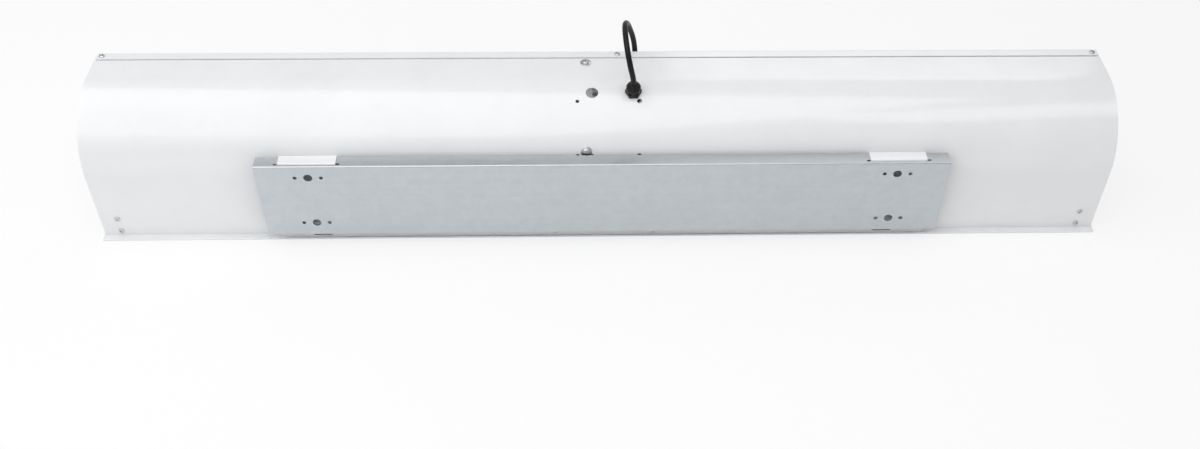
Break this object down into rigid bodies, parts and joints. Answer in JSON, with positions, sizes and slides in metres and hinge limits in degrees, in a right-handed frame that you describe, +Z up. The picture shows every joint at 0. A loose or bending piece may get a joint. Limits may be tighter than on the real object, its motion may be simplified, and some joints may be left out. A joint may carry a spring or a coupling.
{
  "type": "air curtain",
  "caption": "Long wall-mounted air curtain with a quarter-round white casing, galvanised wall plate, cross-flow fan wheels, tilting outlet vanes, rocker switch and mains lead.",
  "frame": {"origin": "on the underside, in the middle of the casing's length and of the depth from the front face to the wall", "axes": "+X along the casing, +Y towards the wall, +Z up; the front with its intake grille faces -Y"},
  "size_m": [1.203, 0.3046, 0.2419],
  "materials": {
    "white_enamel": "gloss",
    "galvanised": "satin",
    "bright_steel": "satin",
    "stack_steel": "matte",
    "winding_copper": "satin",
    "cast_grey": "matte",
    "wheel_aluminium": "satin",
    "dark_steel": "matte",
    "bush_brass": "satin",
    "rubber": "satin",
    "black_plastic": "satin",
    "grey_plastic": "satin",
    "pale_plastic": "satin"
  },
  "bodies": {
    "housing": {"rear_casing": "white_enamel", "front_cover": "white_enamel", "intake_grille": "white_enamel", "bottom_panel": "white_enamel", "left_end_plate": "white_enamel", "right_end_plate": "white_enamel", "hanging_hooks": "white_enamel", "left_bulkhead": "galvanised", "right_bulkhead": "galvanised", "left_air_guide": "galvanised", "right_air_guide": "galvanised", "left_tongue": "galvanised", "right_tongue": "galvanised", "wall_plate": "galvanised", "hook_rivets": "galvanised", "motor_bracket": "galvanised", "left_bearing_holder": "galvanised", "right_bearing_holder": "galvanised", "capacitor_clip": "galvanised", "plate_spacers": "bright_steel", "plate_screws": "bright_steel", "bracket_screws": "bright_steel", "bracket_washers": "bright_steel", "end_screws": "bright_steel", "top_screws": "bright_steel", "front_screws": "bright_steel", "motor_bearings": "bright_steel", "plug_pins": "bright_steel", "motor_stator": "stack_steel", "motor_windings": "winding_copper", "left_motor_shield": "cast_grey", "right_motor_shield": "cast_grey", "left_bearing": "bush_brass", "right_bearing": "bush_brass", "left_bearing_rubber": "rubber", "right_bearing_rubber": "rubber", "power_cord": "rubber", "cord_coil": "rubber", "internal_wiring": "rubber", "vane_bushes": "black_plastic", "switch_housing": "black_plastic", "cable_gland": "black_plastic", "gland_nut": "black_plastic", "gland_locknut": "black_plastic", "cord_tie": "black_plastic", "plug_body": "black_plastic", "capacitor": "grey_plastic", "terminal_block": "pale_plastic"},
    "fan": {"motor_shaft": "bright_steel", "motor_rotor": "stack_steel", "left_fan_wheel": "wheel_aluminium", "right_fan_wheel": "wheel_aluminium", "wheel_hubs": "bright_steel", "hub_screws": "dark_steel", "stub_shafts": "bright_steel"},
    "left_vane": {"left_vane": "wheel_aluminium"},
    "right_vane": {"right_vane": "wheel_aluminium"},
    "rocker": {"switch_rocker": "black_plastic"}
  },
  "joints": [
    {"name": "fan_spin", "type": "hinge", "parent": "housing", "child": "fan", "pos_m": [0.021, -0.008, 0.097], "axis": [1, 0, 0], "continuous": true},
    {"name": "left_vane_tilt", "type": "hinge", "parent": "housing", "child": "left_vane", "pos_m": [-0.3, 0.027, 0.024], "axis": [1, 0, 0], "range_deg": [-25, 25]},
    {"name": "right_vane_tilt", "type": "hinge", "parent": "housing", "child": "right_vane", "pos_m": [0.3, 0.027, 0.024], "axis": [1, 0, 0], "range_deg": [-25, 25]},
    {"name": "rocker_tilt", "type": "hinge", "parent": "housing", "child": "rocker", "pos_m": [0.59, -0.0495, 0.042], "axis": [0, 1, 0], "range_deg": [-12, 12]}
  ]
}
